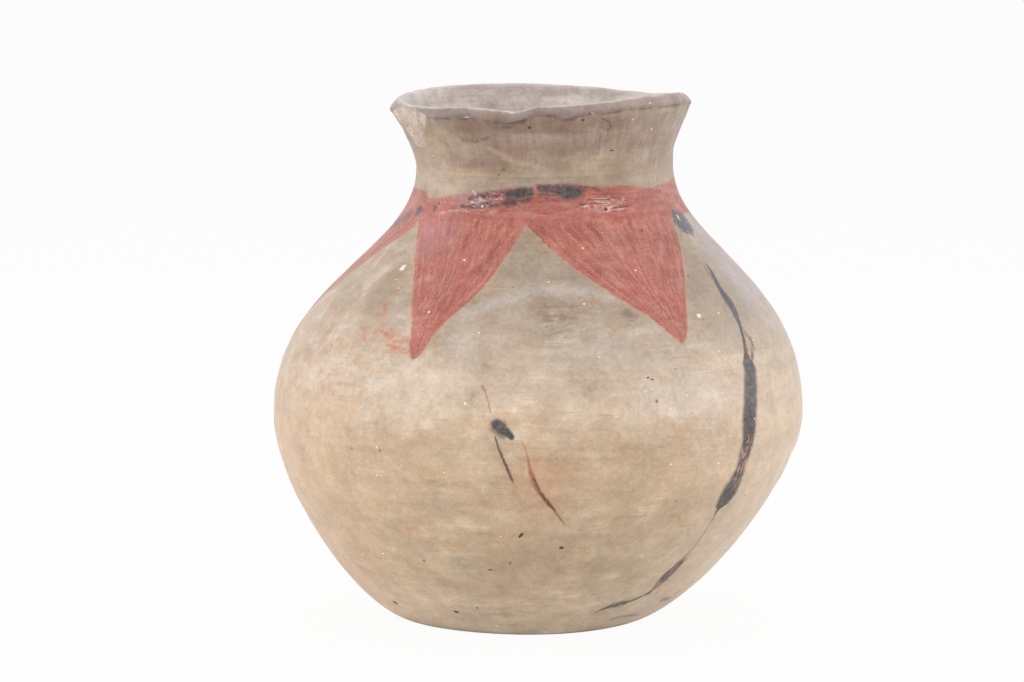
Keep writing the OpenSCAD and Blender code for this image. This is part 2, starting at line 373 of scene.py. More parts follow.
class Nodes:
    """A node tree, with short calls for the sums it needs."""

    def __init__(self, tree):
        self.tree = tree

    def add(self, kind, *values, **named):
        """A new node, fed with values or links, in the order of its inputs or by their names."""
        node = self.tree.nodes.new("ShaderNode" + kind)
        for key, value in (*enumerate(values), *named.items()):
            if value is not None:
                self.link(value, node.inputs[key])
        return node

    def link(self, value, socket):
        if isinstance(value, (int, float)):
            if socket.type == "VECTOR":
                value = (value, value, value)
            socket.default_value = value
        elif isinstance(value, tuple):
            socket.default_value = value[:len(socket.default_value)]
        else:
            self.tree.links.new(value, socket)

    def math(self, op, a, b=None, c=None, clamp=False):
        node = self.add("Math", a, b, c)
        node.operation = op
        node.use_clamp = clamp
        return node.outputs[0]

    def plus(self, a, b):
        return self.math("ADD", a, b)

    def less(self, a, b):
        return self.math("SUBTRACT", a, b)

    def times(self, *terms):
        total = terms[0]
        for t in terms[1:]:
            total = self.math("MULTIPLY", total, t)
        return total

    def fma(self, a, b, c):
        """a times b plus c."""
        return self.math("MULTIPLY_ADD", a, b, c)

    def over(self, a, b):
        return self.math("DIVIDE", a, b)

    def size(self, a):
        return self.math("ABSOLUTE", a)

    def most(self, *terms):
        total = terms[0]
        for t in terms[1:]:
            total = self.math("MAXIMUM", total, t)
        return total

    def vmath(self, op, a, b=None, c=None, scale=None):
        node = self.add("VectorMath", a, b, c, scale)
        node.operation = op
        return node.outputs["Value" if op in ("DOT_PRODUCT", "LENGTH") else "Vector"]

    def turn(self, across, ahead):
        return self.times(self.math("ARCTAN2", across, ahead), 180 / math.pi)

    def vec(self, x, y, z=0):
        return self.add("CombineXYZ", x, y, z).outputs[0]

    def ramp(self, v, a, b, lo=0, hi=1):
        """Soft step of v from lo at a to hi at b."""
        node = self.add("MapRange", v, a, b, lo, hi)
        node.interpolation_type = "SMOOTHSTEP"
        return node.outputs["Result"]

    def chart(self, v, points):
        """A curve through (v, height) points, level beyond its ends."""
        xs, ys = zip(*sorted(points))
        span = (max(ys) - min(ys)) or 1
        into = self.add("MapRange", v, xs[0], xs[-1]).outputs["Result"]
        node = self.add("FloatCurve", Value=into)
        curve = node.mapping.curves[0]
        while len(curve.points) < len(points):
            curve.points.new(0.5, 0.5)
        for mark, x, y in zip(curve.points, xs, ys):
            mark.location = ((x - xs[0]) / (xs[-1] - xs[0]), (y - min(ys)) / span)
            mark.handle_type = "AUTO_CLAMPED"
        node.mapping.update()
        return self.fma(node.outputs[0], span, min(ys))

    def mix(self, f, a, b, blend="MIX"):
        """Mixes b into a: links, colours as tones from 0 to 255, or four plain factors."""
        node = self.add("Mix", f)
        node.data_type = "RGBA"
        node.blend_type = blend
        for colour, socket in zip((a, b), node.inputs[6:8]):
            plain = isinstance(colour, tuple) and len(colour) == 3
            self.link(tone(*colour) if plain else colour, socket)
        return node.outputs[2]

    def noise(self, vec, length, detail=2, rough=0.5, warp=0, move=None, stretch=None):
        """Noise, about 0 to 1, with features about length millimetres long."""
        if move or stretch:
            vec = self.vmath("MULTIPLY_ADD", vec, stretch or (1, 1, 1), move or (0, 0, 0))
        return self.add("TexNoise", Vector=vec, Scale=1 / length, Detail=detail, Roughness=rough,
                        Distortion=warp).outputs["Fac"]


class Pattern(Nodes):
    """A material laid out round the jar, in which shapes have edges as drawn by hand."""

    def __init__(self, name, scale=BELLY_SCALE):
        self.mat = bpy.data.materials.new(name)
        self.mat.use_nodes = True
        super().__init__(self.mat.node_tree)
        self.scale = scale
        self.shader = self.tree.nodes["Principled BSDF"]
        self.here = self.vmath("SCALE", self.add("TexCoord").outputs["Object"], scale=1000)
        self.x, self.y, self.z = self.add("SeparateXYZ", self.here).outputs
        self.front = self.turn(self.x, self.times(self.y, -1.0))
        self.flat = self.vec(self.front, self.z)
        # the painter's hand: edges wander by about a millimetre and fray a little
        self.wander = self.plus(self.noise(self.here, 14, 3), -0.5)
        self.fray = self.plus(self.noise(self.here, 2.2, 2), -0.5)
        self.stray = self.fma(self.wander, 1.0, self.times(self.fray, 0.9))
        self.wobble = self.times(self.plus(self.fray, self.wander), 0.5)
        self.angle = self.plus(self.front, self.stray)
        self.tall = self.fma(self.wander, -1.2, self.fma(self.fray, 1.1, self.z))

    def dots(self, length, radius, chance, move=(0, 0, 0)):
        """Scattered round dots: cells of that length, of which a share holds a dot."""
        node = self.add("TexVoronoi", self.vmath("ADD", self.here, move), Scale=1 / length)
        pick = self.add("SeparateColor", node.outputs["Color"]).outputs
        held = self.math("LESS_THAN", pick[0], chance)
        size = self.fma(pick[1], radius * 0.7 / length, radius * 0.5 / length)
        return self.times(self.ramp(self.over(node.outputs["Distance"], size), 1, 0.5), held)

    def colours(self, v, stops):
        """Colours along v; each stop is a value of v and the three tones there."""
        x0, x1 = stops[0][0], stops[-1][0]
        node = self.add("ValToRGB", self.add("MapRange", v, x0, x1).outputs["Result"])
        node.color_ramp.interpolation = "B_SPLINE"
        marks = node.color_ramp.elements
        while len(marks) < len(stops):
            marks.new(0.5)
        for mark, (x, *tones) in zip(marks, stops):
            mark.position = (x - x0) / (x1 - x0)
            mark.color = tone(*tones)
        return node.outputs["Color"]

    def feed(self, name, value):
        self.link(value, self.shader.inputs[name])

    def relief(self, value, depth):
        """Bump of that many millimetres for a height field from 0 to 1."""
        node = self.add("Bump", Strength=1, Distance=depth * MM, Height=value)
        self.feed("Normal", node.outputs["Normal"])

    def faded(self, mask, strength):
        return mask if strength == 1 else self.times(mask, strength)

    def spot(self, angle, z, wide, high, soft=0.5, ragged=1.0, scale=None):
        """A soft oval that reaches wide to each side and high up and down, in millimetres."""
        scale = scale or self.scale
        off = self.vmath("MULTIPLY_ADD", self.flat, (scale / wide, 1 / high, 0.0),
                         (-angle * scale / wide, -z / high, 0.0))
        away = self.fma(self.wobble, ragged, self.vmath("LENGTH", off))
        return self.ramp(away, 1 + soft / 2, 1 - soft / 2)

    def spots(self, soft, ragged, scale, *rows):
        """The most of several ovals alike; each row is strength, angle, z, wide and high."""
        return self.most(*[self.faded(self.spot(*row, soft, ragged, scale), strength)
                           for strength, *row in rows])

    def stroke(self, points, soft=0.35, ragged=0.6, scale=None):
        """A line through (angle, z, half width in millimetres) points."""
        scale = scale or self.scale
        total = None
        for (a0, z0, w0), (a1, z1, w1) in zip(points, points[1:]):
            dx, dz = (a1 - a0) * scale, z1 - z0
            far = dx * dx + dz * dz
            off = self.vmath("MULTIPLY_ADD", self.flat, (scale, 1.0, 0.0),
                             (-a0 * scale, -z0, 0.0))
            along = self.vmath("DOT_PRODUCT", off, (dx / far, dz / far, 0.0))
            along = self.math("ADD", along, 0.0, clamp=True)
            away = self.vmath("SUBTRACT", off, self.vmath("SCALE", (dx, dz, 0.0), scale=along))
            part = self.over(self.vmath("LENGTH", away), self.fma(along, w1 - w0, w0))
            total = part if total is None else self.math("MINIMUM", total, part)
        return self.ramp(self.fma(self.fray, ragged, total), 1 + soft, 1 - soft)

    def strokes(self, soft, ragged, scale, *rows):
        """The most of several lines alike; each row is a strength and the line's points."""
        return self.most(*[self.faded(self.stroke(points, soft, ragged, scale), strength)
                           for strength, *points in rows])

    def down(self, points, soft=0.2, stray=1.0):
        """A line that runs down the jar, through (z, angle, half width in degrees) points."""
        middle = self.chart(self.tall, [(h, a) for h, a, _ in points])
        wide = self.chart(self.tall, [(h, w) for h, _, w in points])
        angle = self.fma(self.stray, stray, self.front)
        beside = self.over(self.size(self.less(angle, middle)), wide)
        tall = sorted(h for h, _, _ in points)
        return self.times(self.ramp(beside, 1 + soft, 1 - soft),
                          self.ramp(self.z, tall[0], tall[0] + 2),
                          self.ramp(self.z, tall[-1], tall[-1] - 3))


# The decoration of the front, in degrees round the jar and millimetres up it.
# Each hanging triangle is two edges, as (height, angle); the first pair of rows is its point.
TRIANGLE_LEFT = ([(129.5, -30), (133, -31.5), (139, -32.4), (149, -35.4), (160, -40.2),
                  (168, -45.5), (176.5, -52.4), (185.5, -60), (190, -63)],
                 [(129.5, -30), (131.5, -28.5), (136.5, -27.1), (142, -25.6), (147.7, -23.4),
                  (152.5, -20.8), (157, -18.2), (162, -15.7), (167, -13.6), (173, -11.4),
                  (179, -8.8), (184.5, -6.5), (190, -5)])
TRIANGLE_RIGHT = ([(135.5, 35), (139, 33), (143, 31), (147.4, 28.5), (151.3, 25.4),
                   (155.2, 21.9), (160, 17.9), (164.5, 14), (169.3, 9.7), (174, 5.4),
                   (181, -0.8), (185.5, -5.3), (190, -7)],
                  [(135.5, 35), (138, 36.8), (141, 38.2), (149, 40.8), (157.3, 44.3),
                   (165.4, 49.2), (171.7, 53.4), (178, 57.6), (184.7, 60.6), (190, 63)])
TRIANGLE_FAR_LEFT = ([(134, -92), (145, -96), (158, -102), (170, -108), (180, -115), (190, -119)],
                     [(134, -92), (142, -87), (150, -83), (160, -78.5), (168, -73.5), (175, -67),
                      (181, -61), (190, -57)])
TRIANGLE_FAR_RIGHT = ([(138, 108), (148, 103), (160, 98), (170, 94), (179, 90), (186, 84),
                       (190, 76)],
                      [(138, 108), (148, 111), (160, 115), (172, 120), (182, 125), (190, 129)])
FRONT_TRIANGLES = (TRIANGLE_LEFT, TRIANGLE_RIGHT, TRIANGLE_FAR_LEFT, TRIANGLE_FAR_RIGHT)
# the last two are measured from the back of the jar
TRIANGLE_BACK_RIGHT = ([(132, -22), (145, -30), (158, -38), (170, -44), (182, -50), (190, -53)],
                       [(132, -22), (144, -16), (157, -10), (170, -4), (183, 1), (190, 3)])
TRIANGLE_BACK_LEFT = ([(136, 33), (147, 27), (160, 20), (171, 13), (183, 4), (190, 1)],
                      [(136, 33), (148, 40), (160, 47), (172, 54), (182, 60), (190, 63)])
# upper edge of the red band
BAND_TOP = [(-180, 198), (-150, 199.5), (-120, 197.5), (-95, 196), (-75, 197), (-65, 196.6),
            (-61, 195.6), (-57.5, 194.2), (-50, 195.3), (-44, 196.4), (-32.5, 198),
            (-22.5, 199.6), (-13, 201.2), (-4.4, 201.8), (0, 203), (9, 203), (17, 202.6),
            (26, 201.9), (36, 201.6), (47, 200.2), (54, 199.7), (60, 200.1), (69, 200.8),
            (80, 201.6), (90, 202), (120, 200), (150, 197), (180, 198)]
# the black stripe down the right: (height, angle, half width in degrees)
STRIPE = [(18, 38.5, 0.4), (20.5, 40.3, 0.9), (24, 41.4, 1.6), (28, 42.2, 2.2), (32, 43.8, 1.7),
          (36, 45, 1.4), (39, 45.6, 0.8), (44, 46.6, 0.35), (50, 47, 0.3), (55, 47.5, 0.35),
          (58.5, 47.6, 0.5), (60.5, 48.2, 1.5), (66, 49.2, 2.8), (74, 49.9, 2.3), (81, 50.5, 1.9),
          (88, 50.8, 1.9), (94, 50.9, 2), (100, 51.3, 2.3), (109, 52.2, 2.35), (116, 53.3, 2.2),
          (123, 54.3, 2.1), (126, 54.2, 1.4), (130, 54.8, 0.8), (134, 55.6, 0.6), (138, 56.4, 0.6),
          (142, 57.4, 0.9), (146, 58.1, 1.3), (150, 58.4, 1.4), (155, 58.7, 1), (160, 59.9, 0.9),
          (165, 61.2, 0.6), (168, 61.8, 0.2)]
STRIPE_SOLID = [(18, 0.3), (24, 0.55), (30, 0.6), (36, 0.5), (42, 0.3), (50, 0.3), (57, 0.45),
                (61, 0.74), (70, 0.62), (80, 0.54), (88, 0.56), (93.5, 0.6), (94.5, 1),
                (104, 0.95), (109, 0.82), (114, 0.95), (122, 1), (127, 0.85), (132, 0.66),
                (142, 0.7), (150, 0.9), (160, 0.72), (168, 0.3)]


class Clay(Pattern):
    """Burnished tan clay: the ground of every zone, so that the zones meet unseen."""

    def __init__(self, name, scale=BELLY_SCALE):
        super().__init__(name, scale)
        p = self
        self.streak = p.noise(p.here, 3.2, 3, 0.6, stretch=(0.08, 0.08, 1))
        self.long_streak = p.noise(p.here, 9, 3, 0.55, stretch=(0.05, 0.05, 1))
        self.patch = p.noise(p.here, 19, 4, 0.6, 0.8, move=(300, 40, 90), stretch=(0.8, 0.8, 1))
        self.mottle = p.noise(p.here, 5, 3, 0.65, move=(10, 740, 90), stretch=(0.5, 0.5, 1))
        self.grain = p.noise(p.here, 0.9, 3, 0.7)
        self.cloud = p.noise(p.here, 55, 3, 0.55, 0.6)
        self.tooth = p.noise(p.here, 14, 5, 0.9, move=(80, 20, 500))
        self.hue = p.noise(p.here, 7, 4, 0.75, move=(500, 90, 40), stretch=(0.5, 0.5, 1))
        hatch = p.noise(p.here, 0.9, 2, 0.6, stretch=(0.04, 0.04, 1), move=(9, 7, 30))
        self.hatch = p.times(p.ramp(hatch, 0.6, 0.74), p.ramp(self.patch, 0.35, 0.6))
        self.height = p.fma(p.grain, 0.45, p.fma(p.streak, 0.9, p.times(p.tooth, 0.9)))
        self.rough = p.fma(p.streak, 0.16, p.fma(p.mottle, 0.2, 0.28))
        shift = p.fma(self.cloud, 16, -8)
        # the clay's tone by height; the paler tones towards the foot are painted light, the bounce
        # from the white floor
        self.skin = p.colours(p.plus(p.z, shift), [
            (0, 220, 202, 178), (12, 208, 189, 163), (26, 193, 173, 147),
            (45, 185, 163, 136), (72, 192, 167, 140), (96, 199, 173, 145),
            (114, 206, 185, 162), (130, 196, 177, 157), (148, 178, 159, 141),
            (166, 170, 151, 133), (200, 171, 151, 131), (211, 163, 143, 125),
            (226, 156, 137, 121), (240, 156, 137, 123)])
        worn = p.fma(p.patch, 0.36, p.fma(p.long_streak, 0.28, p.fma(p.streak, 0.16,
                                                                      p.times(p.mottle, 0.2))))
        p.tint(p.ramp(worn, 0.5, 0.66), (1.3, 1.34, 1.4))
        p.tint(p.ramp(worn, 0.5, 0.34), (0.76, 0.73, 0.7))
        p.tint(p.ramp(self.hue, 0.52, 0.7), (1.1, 1.14, 1.22))
        p.tint(p.ramp(self.hue, 0.5, 0.32), (0.98, 0.88, 0.78))
        p.tint(self.hatch, (0.8, 0.76, 0.72))
        # the sides are paler low down, brighter on the right: partly a paler bloom in the clay,
        # partly painted sheen where the surface turns away from view
        side = p.times(p.ramp(p.size(p.front), 14, 84), p.ramp(p.z, 150, 70, 0.15, 0.66))
        pale_flank_and_sheen = p.mix(p.ramp(p.x, -60, 60), (222, 187, 153), (236, 211, 185))
        p.lay(side, pale_flank_and_sheen)

    def lay(self, mask, colour, strength=1):
        """Lays a colour over the skin where mask is 1."""
        self.skin = self.mix(self.faded(mask, strength), self.skin, colour)

    def blot(self, angle, z, wide, high, soft, ragged, colour, strength, scale=None):
        """Lays one soft oval of a colour over the skin."""
        self.lay(self.spot(angle, z, wide, high, soft, ragged, scale), colour, strength)

    def tint(self, mask, factors):
        """Multiplies the skin's red, green and blue where mask is 1."""
        self.skin = self.mix(mask, self.skin, factors + (1,), "MULTIPLY")

    def raise_by(self, mask, amount):
        self.height = self.fma(mask, amount, self.height)

    def hole(self, angle, z, wide, high, scale=1.1):
        """A hole in painted light: painted shade inside it, and a painted highlight on its lower
        right edge.
        """
        self.blot(angle + 0.7 * wide / scale, z - 0.5 * high, 1.5 * wide, 1.4 * high, 0.8, 1,
                  (222, 206, 190), 0.5, scale)
        self.blot(angle, z, wide, high, 0.6, 1.6, (46, 36, 32), 0.9, scale)

    def speckle(self):
        """Pits, darkened as painted shade in them, white grit and brown flecks all over."""
        pits = self.most(self.dots(6.5, 0.55, 0.24), self.dots(17, 0.95, 0.2))
        # painted shade in the pits
        self.lay(pits, (84, 64, 52), 0.66)
        self.raise_by(pits, -1.6)
        self.rough = self.fma(pits, 0.2, self.rough)
        self.lay(self.dots(8, 0.5, 0.34, (-57, 131, 12)), (150, 104, 76), 0.4)
        grit = self.most(self.dots(7.5, 0.62, 0.3, (57, 31, 12)),
                         self.dots(21, 1.2, 0.22, (7, 3, 82)))
        self.lay(grit, (255, 246, 228), 0.92)

    def triangle(self, edges, angle):
        """Depth into a hanging triangle, in degrees; 1 at its heights; how far across, 0 to 1."""
        low, high = (self.chart(self.tall, e) for e in edges)
        into = self.less(angle, low)
        depth = self.math("MINIMUM", into, self.less(high, angle))
        held = self.times(self.ramp(self.tall, edges[0][0][0] - 1, edges[0][0][0]),
                          self.math("LESS_THAN", self.tall, 190))
        wide = self.math("MAXIMUM", self.less(high, low), 2)
        return depth, held, self.over(into, wide)

    def slip(self, triangles, angle):
        """Red slip: the hanging triangles, and the band that they hang from."""
        red, near, across = [], [], []
        for edges in triangles:
            depth, held, part = self.triangle(edges, angle)
            red.append(self.times(self.ramp(depth, -0.45, 0.45), held))
            near.append(self.times(self.ramp(depth, -1.5, 0), held))
            across.append(self.times(red[-1], part))
        self.lay(self.most(*near), (206, 160, 124), 0.45)
        top = self.chart(self.front, BAND_TOP)
        band = self.times(self.ramp(self.less(top, self.tall), -0.7, 0.8),
                          self.ramp(self.tall, 184.6, 186.4))
        brush = self.vec(self.times(self.most(*across), 22), self.times(self.z, 0.09))
        brush = self.noise(brush, 1, 4, 0.75, 0.5)
        level = self.noise(self.here, 2.2, 3, 0.6, stretch=(0.2, 0.2, 1))
        level = self.fma(level, 0.7, 0.15)
        pick = self.ramp(self.z, 184, 190)
        self.brush = self.fma(pick, self.less(level, brush), brush)
        coat = self.fma(self.brush, 0.52, self.fma(self.patch, 0.26, self.times(self.hue, 0.22)))
        paint = self.colours(coat, [
            (0.36, 148, 75, 65), (0.46, 171, 94, 83), (0.54, 186, 110, 99),
            (0.66, 205, 136, 123)])
        for field, low, high, share, colour in (
                (self.mottle, 0.54, 0.72, 0.35, (190, 126, 118)),
                (self.grain, 0.54, 0.72, 0.4, (216, 156, 138)),
                (self.grain, 0.46, 0.32, 0.4, (138, 66, 58))):
            paint = self.mix(self.times(self.ramp(field, low, high), share), paint, colour)
        thin = self.fma(self.brush, -0.7, self.fma(self.mottle, -0.75, 1.64))
        thin = self.math("MINIMUM", thin, 1)
        self.cover = self.math("MULTIPLY", self.most(*red, band), thin, clamp=True)
        self.skin = self.mix(self.cover, self.skin, paint)
        self.rough = self.fma(self.cover, 0.05, self.rough)

    def pitch(self, mask, bluish=0):
        """Black slip, worn through in places."""
        dark = self.colours(self.fma(self.worn, 0.6, self.times(self.rub, 0.4)), [
            (0.36, 20, 21, 24), (0.48, 44, 44, 47), (0.6, 98, 92, 90)])
        if bluish != 0:
            dark = self.mix(bluish, dark, (92, 92, 112))
        self.lay(self.times(mask, 0.96), dark)
        self.rough = self.fma(mask, -0.1, self.rough)

    def ready_to_mark(self):
        self.worn = self.noise(self.here, 1.7, 4, 0.7, stretch=(0.4, 0.4, 1))
        self.rub = self.noise(self.flat, 2.2, 4, 0.75, stretch=(2, 0.4, 1))

    def finish(self, depth=0.2, tooth=1.1, shine=0.3):
        """Gives the colour its fine grain, of every size down to half a millimetre."""
        even = self.fma(self.tooth, tooth, self.fma(self.grain, 0.3, 0.88 - tooth / 2))
        self.feed("Base Color", self.vmath("SCALE", self.skin, scale=even))
        self.feed("Roughness", self.math("MAXIMUM", self.rough, 0.12))
        self.feed("Specular IOR Level", shine)
        self.feed("Sheen Weight", 0.2)
        self.feed("Sheen Roughness", 0.5)
        self.relief(self.height, depth)
        return self.mat


def stripe_on(p):
    """The black stripe down the right side, worn thin in places."""
    inside = p.down(STRIPE, 0.35)
    solid = p.chart(p.z, STRIPE_SOLID)
    p.lay(inside, (152, 104, 84), 0.5)
    return p.times(inside, p.ramp(p.plus(p.rub, solid), 0.92, 1.12))


def right_split(p):
    """The thin second strand that leaves the stripe's right edge, with brown clay between."""
    p.blot(56.4, 128, 2.2, 4.5, 0.8, 1, (186, 138, 104), 0.5)
    return p.times(p.stroke([(57.6, 139, 0.5), (57.6, 136, 0.6), (58.7, 133.6, 1.2),
                             (58.2, 130.6, 1.4), (57.2, 128, 0.9), (55.8, 125, 0.9)],
                            0.7, scale=2), p.ramp(p.rub, 0.3, 0.55), 0.8)


def left_mottles_and_highlight(p):
    """The left side: a pale patch near the front, which is a painted highlight, then orange mottles
    and pale ones.
    """
    # painted highlight: a broad pale patch on the left of the belly where the lamps shine
    p.blot(-31, 118, 30, 13, 1.6, 3.4, (226, 208, 190), 0.55)
    p.lay(p.times(p.spot(-62, 138, 48, 30, 1.6, scale=2), p.ramp(p.hue, 0.54, 0.38)),
          (188, 146, 112), 0.6)
    p.lay(p.times(p.spot(-62, 140, 48, 34, 1.6, scale=2), p.ramp(p.patch, 0.52, 0.68)),
          (220, 204, 190), 0.5)


def body_clay():
    """The lower half, up to a little over the widest place."""
    p = Clay("burnished clay of the belly")
    p.ready_to_mark()
    left_mottles_and_highlight(p)
    # painted highlight: a broad pale patch on the right of the belly where the lamps shine
    p.blot(32, 113, 26, 10, 1.6, 2.6, (222, 208, 195), 0.5)
    p.blot(-1, 78, 12, 14, 1.8, 2, (184, 138, 104), 0.5)
    p.blot(-2, 40, 26, 13, 1.8, 2, (172, 146, 120), 0.55)
    p.blot(-14, 26, 20, 8, 1.6, 2, (180, 154, 128), 0.4)

    # the stripe and its smeared end at the foot, and the mark at the middle with its tail
    smear = p.most(
        p.stroke([(40.3, 20, 1), (37.8, 19, 0.8), (35.8, 17.4, 0.6), (33, 16.3, 0.8),
                  (30, 15.6, 1.6), (26, 15, 1.2), (23, 13.7, 0.7), (20.6, 11.8, 0.3)],
                 0.8, scale=1.7),
        p.times(p.stroke([(53, 13.9, 0.9), (60, 13, 1.1)], 0.9, scale=1.6), 0.7),
        p.times(p.stroke([(60.4, 15.6, 0.7), (62, 17, 0.4)], 0.9, scale=1.6), 0.8))
    smear = p.times(smear, p.ramp(p.rub, 0.32, 0.5))
    mark = p.most(
        p.stroke([(-9.1, 103.6, 2.6), (-8.2, 102.2, 3), (-5.9, 98.2, 1.3)], 0.4),
        p.times(p.stroke([(-9.6, 101.4, 1.5), (-7.6, 98.4, 1.1)], 1), 0.7),
        p.times(p.down([(77, -5.6, 0.12), (82.6, -6.6, 0.29), (87, -7.4, 0.29), (91.6, -8.3, 0.26),
                        (94.7, -8.9, 0.2), (100, -9.5, 0.24)], 0.7, 0.3), 0.95))
    p.pitch(p.most(stripe_on(p), right_split(p), smear, mark))

    # thin brown lines beside the mark, the darker middle of the long one, and small stains
    long_line = p.down([(56.8, 6.1, 0.15), (61, 4.6, 0.24), (65.4, 3, 0.33), (68.3, 1.8, 0.48),
                        (71.2, 0.7, 0.52), (75.4, -0.8, 0.43), (80.6, -1.6, 0.57),
                        (84.6, -2.1, 0.33), (91.8, -2.9, 0.24), (98.3, -4.1, 0.15)], 0.8, 0.5)
    brown = p.most(
        p.times(long_line, p.ramp(p.rub, 0.2, 0.5), p.ramp(p.z, 94, 82, 0.4, 1)),
        p.times(p.stroke([(-12.5, 119.8, 0.8), (-11.7, 117.4, 0.5), (-11, 113, 0.3),
                          (-10.5, 109, 0.3)], 0.9), 0.6),
        p.times(p.stroke([(-8.6, 93, 0.9), (-7.4, 86, 1.2), (-5.4, 76, 0.8)], 1.4), 0.3))
    p.lay(brown, (150, 82, 58), 0.8)
    p.lay(p.times(p.stroke([(-1.2, 79.6, 0.5), (0.2, 73, 0.6), (2, 67.6, 0.9), (3.4, 64.8, 0.4)],
                           0.9), p.ramp(p.rub, 0.3, 0.5)), (74, 48, 38), 0.75)
    p.lay(p.stroke([(-63, 32, 1.2), (-61.7, 29.4, 1.4), (-54.3, 28, 0.9)], 1.2, scale=1.7),
          (204, 132, 114), 0.36)
    p.lay(p.times(p.stroke([(30, 6.8, 0.6), (36, 7.6, 0.9), (48, 6.9, 0.5)], 0.8, scale=1.5),
                  p.ramp(p.rub, 0.35, 0.5)), (104, 84, 68), 0.6)
    cluster = p.times(p.dots(2.6, 0.6, 0.22, (3, 9, 4)), p.spot(33, 113, 22, 11, 1.2))
    p.lay(cluster, (255, 248, 236), 0.9)
    dark_dots = p.most(
        p.stroke([(-4.9, 52.1, 0.6), (-4.2, 53.4, 0.7)], 0.3), p.spot(5.4, 46.6, 1.3, 0.8),
        p.spots(0.5, 2, 1.6, (1, -56.4, 12.8, 2, 0.9), (1, -29.8, 12.2, 1.6, 0.6)),
        p.spots(0.5, 1, 2.1, (0.8, -7.7, 39.2, 0.6, 0.6), (0.8, -20.9, 15.3, 0.7, 0.6),
                (0.8, -31.7, 38, 0.6, 0.5), (0.8, -13.3, 35.4, 1.6, 0.4)),
        p.spots(0.5, 3, 2.1, (0.8, 24.4, 122.4, 0.7, 0.4), (0.8, 25.3, 121.6, 0.9, 0.4)))
    p.lay(dark_dots, (44, 34, 30), 0.9)
    p.speckle()
    p.rough = p.fma(p.spot(67, 28, 26, 9, 1.4, scale=1.9), -0.24, p.rough)
    return p.finish()


def blotches(p):
    """Blue black patches that cross from the shoulder into the band, left and right."""
    both = p.most(
        p.spot(67, 183, 8.4, 5.4, 0.5, 1.8, 1.25), p.spot(-63.5, 188.3, 2.6, 1.9, 0.8, 1.6, 1.1),
        p.strokes(0.9, 1.6, 1.25, (0.5, (78, 190, 0.6), (85, 184, 1), (90, 175, 1)),
                  (0.7, (-70, 186, 1.6), (-80, 182, 2), (-90, 178, 1.6))))
    return p.times(both, p.ramp(p.worn, 0.26, 0.46))


def shoulder_clay():
    """The front of the shoulder, with the hanging triangles."""
    p = Clay("painted clay of the shoulder")
    p.ready_to_mark()
    brown_cloud = p.most(p.spot(3.5, 148, 10, 6.5, 1.2, 3.2), p.spot(24, 148, 5, 4, 1, 3),
                         p.spots(1.2, 3, 2.1, (0.6, -24, 140, 9, 5), (0.5, 12, 140, 7, 3)))
    p.lay(p.times(brown_cloud, p.ramp(p.mottle, 0.38, 0.56)), (136, 110, 96), 0.7)
    pale = p.most(p.stroke([(-20, 148, 2.5), (-12, 154, 2.2), (-2, 159, 2), (10, 159, 1.8),
                            (20, 156, 1.4)], 1.2, 3),
                  p.spots(1.4, 3, 2.1, (0.7, -20, 139, 9, 4), (0.7, 16, 134, 16, 5)))
    p.lay(pale, (204, 192, 182), 0.55)
    p.blot(-50, 163, 9, 9, 1.4, 3, (150, 122, 98), 0.4)
    left_mottles_and_highlight(p)
    p.blot(54, 152, 26, 20, 1.6, 2.4, (154, 136, 122), 0.5)
    p.blot(76, 164, 15, 22, 1.4, 2.4, (186, 178, 182), 0.55, 1.6)

    p.slip(FRONT_TRIANGLES, p.angle)
    p.lay(p.times(p.spot(-44, 181, 14, 9, 1.4, 2.4, 1.4), p.cover), (186, 138, 146), 0.35)
    red_smears = p.strokes(
        1, 2.4, 1.9, (1, (-45.2, 150.2, 0.7), (-43.4, 147.4, 1.3)),
        (1, (-47.8, 140, 0.4), (-46.6, 136.8, 0.6), (-44.4, 134.4, 0.4)),
        (1, (-41.8, 140, 0.5), (-37.6, 137.6, 0.9)),
        (1, (-38.6, 134.8, 0.5), (-35.4, 133.6, 1), (-31.8, 132.8, 0.8)),
        (1, (-36.8, 136.2, 0.5), (-32.2, 136.8, 1)))
    p.lay(p.times(red_smears, p.ramp(p.grain, 0.38, 0.56)), (202, 112, 94), 0.8)

    edge_left = p.times(p.stroke([(-98, 164, 1.5), (-94, 152, 2), (-92, 142, 1.7),
                                  (-91, 134, 0.8)], 0.9, 1.6, 1.9), 0.7)
    blue = p.most(blotches(p), edge_left)
    strand = p.stroke([(59.2, 164.4, 0.4), (58.5, 161, 0.5), (59.2, 157.6, 0.5)], 0.7, scale=2)
    stripe = p.most(stripe_on(p), right_split(p), p.times(strand, 0.7))
    p.pitch(p.most(blue, stripe),
            p.times(p.most(blue, p.times(stripe, p.ramp(p.z, 130, 150))), 0.5))
    p.lay(p.most(p.spot(40.6, 181.8, 0.9, 0.5, scale=1.2), p.spot(48.6, 162, 0.6, 0.5)),
          (84, 60, 50), 0.75)
    scratch = p.strokes(
        1.2, 2, 1.9, (0.6, (-31.5, 151, 0.3), (-30, 165, 0.3)),
        (0.5, (-34, 148, 0.3), (-31.6, 160, 0.3)), (0.4, (8, 186, 0.3), (20, 168, 0.3)),
        (0.4, (24, 180, 0.3), (30, 168, 0.3)))
    p.lay(p.times(scratch, p.ramp(p.grain, 0.35, 0.6)), (226, 176, 150), 0.8)
    # pale flecks, and a painted glint on the blue black patch at the right
    p.lay(p.most(p.spot(-49, 165.2, 1.8, 1.3, 0.6, 3, 1.6),
                 p.spot(43.8, 146.2, 1.3, 0.8, 0.6, 2, 1.9),
                 p.spot(66.4, 185.3, 0.8, 1, scale=1.25)), (252, 240, 216), 0.9)
    p.speckle()
    return p.finish()


